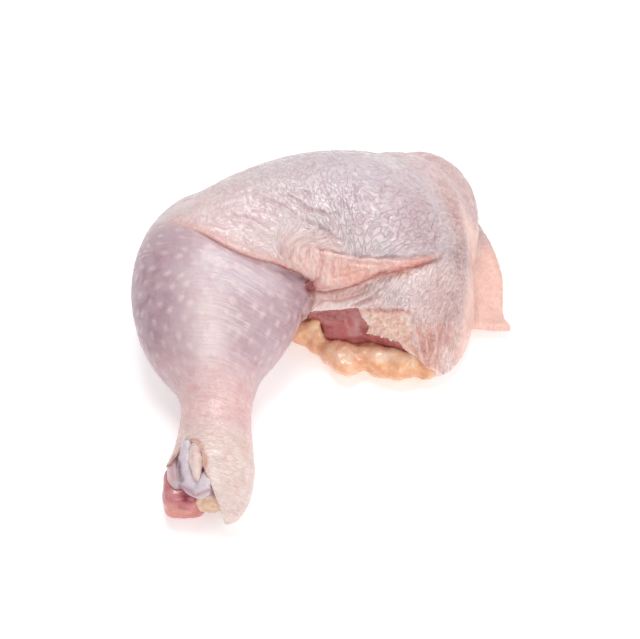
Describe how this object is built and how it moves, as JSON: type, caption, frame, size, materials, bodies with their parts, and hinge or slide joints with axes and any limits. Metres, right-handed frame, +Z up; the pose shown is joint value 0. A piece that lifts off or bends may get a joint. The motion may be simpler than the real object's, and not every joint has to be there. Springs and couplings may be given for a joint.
{
  "type": "raw chicken leg quarter",
  "caption": "Raw chicken thigh and drumstick in one piece, lying skin side up, with loose back skin, a torn edge over meat and fat, and a cut hock.",
  "frame": {"origin": "under the middle of the whole piece's box, on the surface it lies on", "axes": "+X from the knee along the thigh to the hip end, +Y from the hock back past the knee, +Z up"},
  "size_m": [0.1254, 0.1414, 0.05],
  "materials": {
    "skin": "wet raw skin, satin, with pale follicle dots and fine wrinkles",
    "meat": "wet raw muscle, glossy, with fibres",
    "fat": "soft raw fat, lumpy, satin",
    "cartilage": "smooth wet cartilage, bluish white",
    "tendon": "cream tendon, satin, fibrous",
    "shank_flesh": "pink cut end with a dark red marrow spot, wet",
    "ligament": "pale tan connective tissue, wet"
  },
  "bodies": {
    "root": {"skin": "skin", "meat": "meat", "fat": "fat", "shin_bone": "cartilage", "tendon": "tendon", "shank_stub": "shank_flesh", "ligament": "ligament"}
  },
  "joints": []
}
